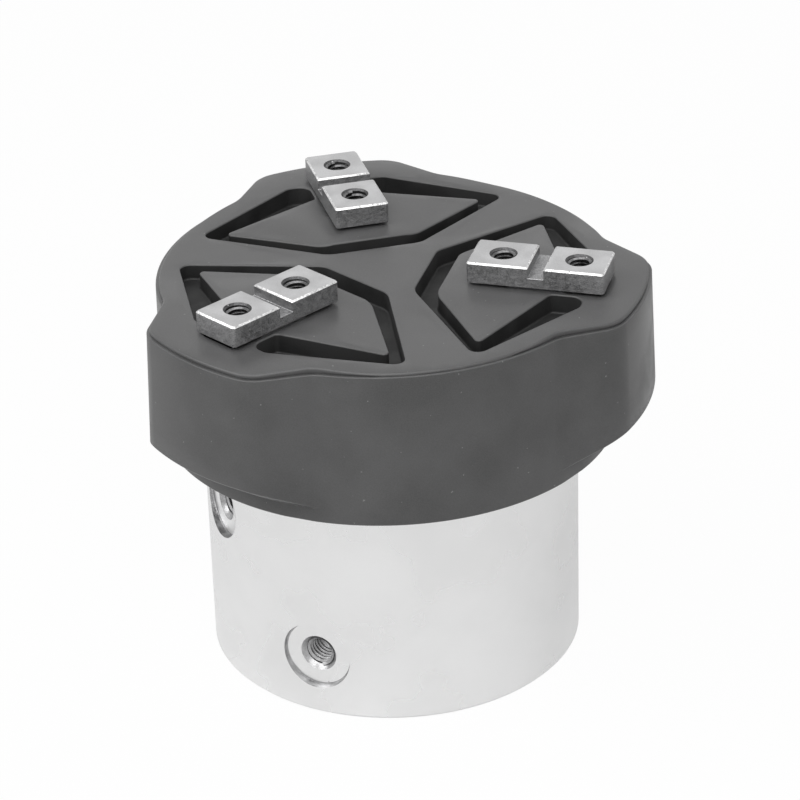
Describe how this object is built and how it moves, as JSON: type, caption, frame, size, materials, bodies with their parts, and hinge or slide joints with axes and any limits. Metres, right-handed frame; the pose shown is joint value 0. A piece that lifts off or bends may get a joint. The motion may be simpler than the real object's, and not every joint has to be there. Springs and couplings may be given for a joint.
{
  "type": "three jaw centric gripper",
  "caption": "Pneumatic centric gripper with a round body, a lobed head and jaws that slide outwards together, each with threads and a cross slot for a finger.",
  "frame": {"origin": "centre of the base face, on the gripper's axis", "axes": "+Z along the gripper's axis towards the jaws; +X along the radial path of jaw 1"},
  "size_m": [0.0836, 0.0862, 0.0736],
  "materials": {
    "satin_aluminium": "satin turned, clear anodised",
    "machined_aluminium": "machined",
    "head_plastic": "fine-grained moulded black",
    "jaw_steel": "ground steel with bright chamfers",
    "guide_steel": "ground hardened steel",
    "pad_black": "dark sliding pad",
    "screw_steel": "black oxide",
    "seal_rubber": "nitrile rubber",
    "guide_ring_plastic": "filled fluoroplastic",
    "bush_bronze": "sintered bronze"
  },
  "bodies": {
    "housing": {"cylinder_body": "satin_aluminium", "end_cap": "machined_aluminium", "end_cap_seal": "seal_rubber", "snap_ring": "screw_steel", "rod_bush": "bush_bronze", "rod_seal": "seal_rubber", "guide_body": "guide_steel", "guide_screws": "screw_steel", "head_housing": "head_plastic", "top_cover": "head_plastic", "cover_screws": "screw_steel"},
    "drive": {"piston": "machined_aluminium", "piston_seal": "seal_rubber", "piston_guide_ring": "guide_ring_plastic", "piston_bumpers": "seal_rubber", "piston_nut": "screw_steel", "piston_rod": "guide_steel", "wedge_hook": "guide_steel", "hook_screw": "screw_steel"},
    "jaw_1": {"base_jaw_1": "guide_steel", "jaw_pad_1": "pad_black", "jaw_plate_1": "jaw_steel", "jaw_screws_1": "screw_steel"},
    "jaw_2": {"base_jaw_2": "guide_steel", "jaw_pad_2": "pad_black", "jaw_plate_2": "jaw_steel", "jaw_screws_2": "screw_steel"},
    "jaw_3": {"base_jaw_3": "guide_steel", "jaw_pad_3": "pad_black", "jaw_plate_3": "jaw_steel", "jaw_screws_3": "screw_steel"}
  },
  "joints": [
    {"name": "piston_slide", "type": "slide", "parent": "housing", "child": "drive", "axis": [0, 0, 1], "range_m": [0, 0.01039]},
    {"name": "jaw_1_slide", "type": "slide", "parent": "housing", "child": "jaw_1", "axis": [1, 0, 0], "range_m": [0, 0.006]},
    {"name": "jaw_2_slide", "type": "slide", "parent": "housing", "child": "jaw_2", "axis": [-0.5, 0.866, 0], "range_m": [0, 0.006]},
    {"name": "jaw_3_slide", "type": "slide", "parent": "housing", "child": "jaw_3", "axis": [-0.5, -0.866, 0], "range_m": [0, 0.006]}
  ],
  "couplings": [
    {"joint": "jaw_1_slide", "follows": "piston_slide", "ratio": 0.57735},
    {"joint": "jaw_2_slide", "follows": "piston_slide", "ratio": 0.57735},
    {"joint": "jaw_3_slide", "follows": "piston_slide", "ratio": 0.57735}
  ]
}
